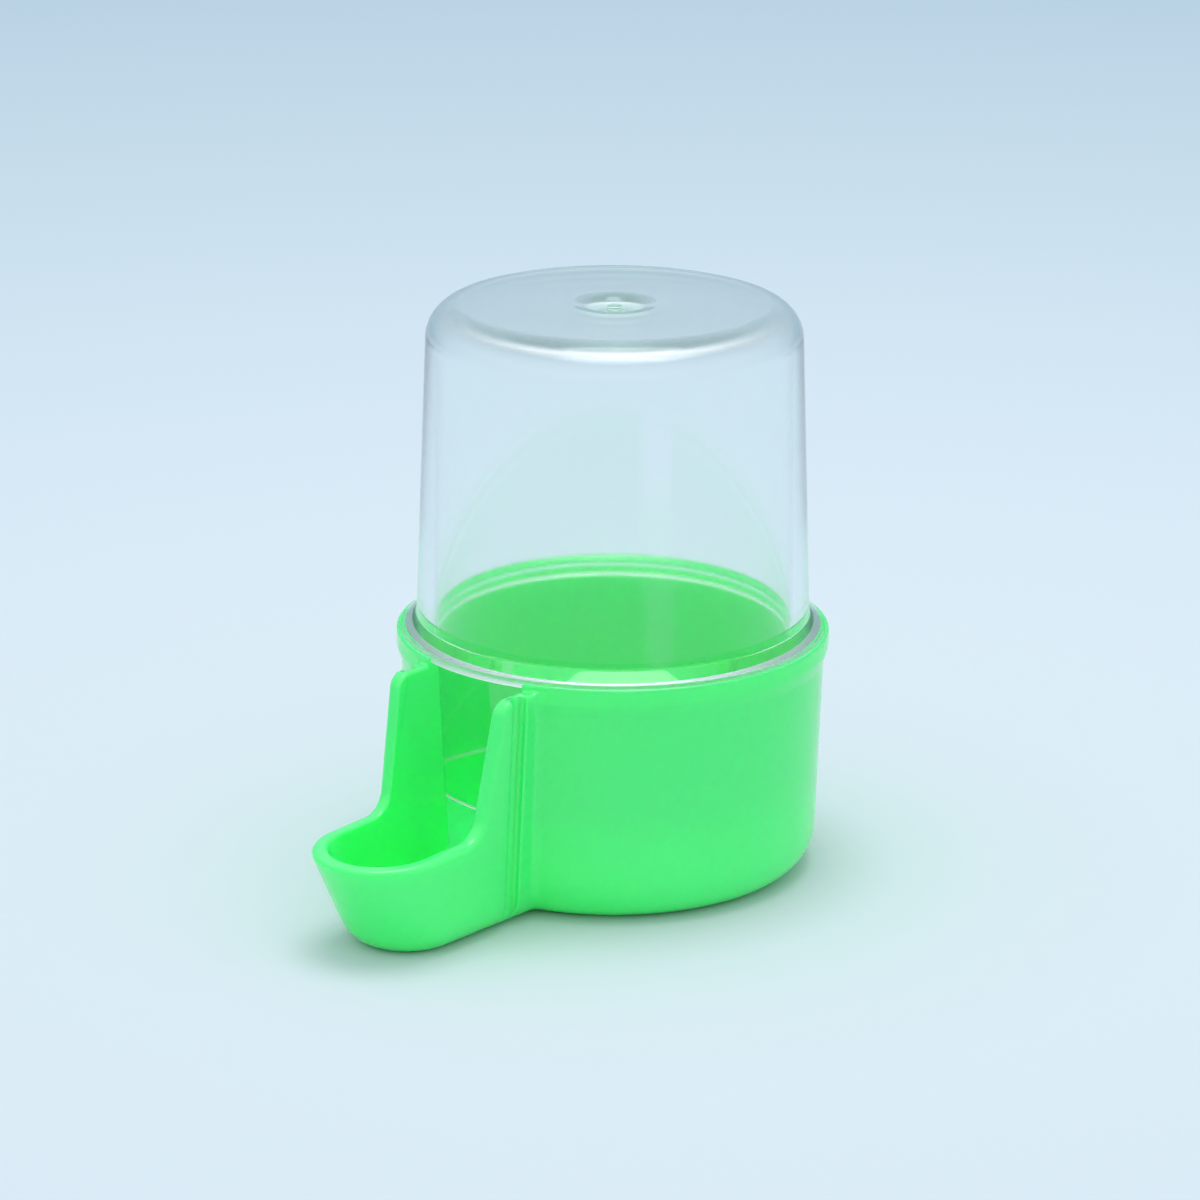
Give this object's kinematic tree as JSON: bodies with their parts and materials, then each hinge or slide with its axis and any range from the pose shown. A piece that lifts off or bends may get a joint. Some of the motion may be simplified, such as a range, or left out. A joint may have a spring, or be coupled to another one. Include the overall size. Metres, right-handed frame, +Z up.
{
  "type": "bird waterer",
  "caption": "Gravity bird waterer: a clear upturned tank stands in a green base, and the base's open drinking trough reaches out between cage wires.",
  "frame": {"origin": "on the tank's axis, at the flat underside of the base", "axes": "+Z up along the tank's axis, -Y along the drinking trough towards its nose, X across the trough"},
  "size_m": [0.052, 0.0754, 0.0694],
  "materials": {
    "green_plastic": "bright light green, satin gloss, slightly translucent moulded plastic",
    "clear_plastic": "clear, colourless, glossy moulded plastic"
  },
  "bodies": {
    "base": {"base": "green_plastic"},
    "tank": {"tank": "clear_plastic"}
  },
  "joints": [
    {"name": "tank_lift", "type": "slide", "parent": "base", "child": "tank", "axis": [0, 0, 1], "range_m": [0, 0.022]}
  ]
}
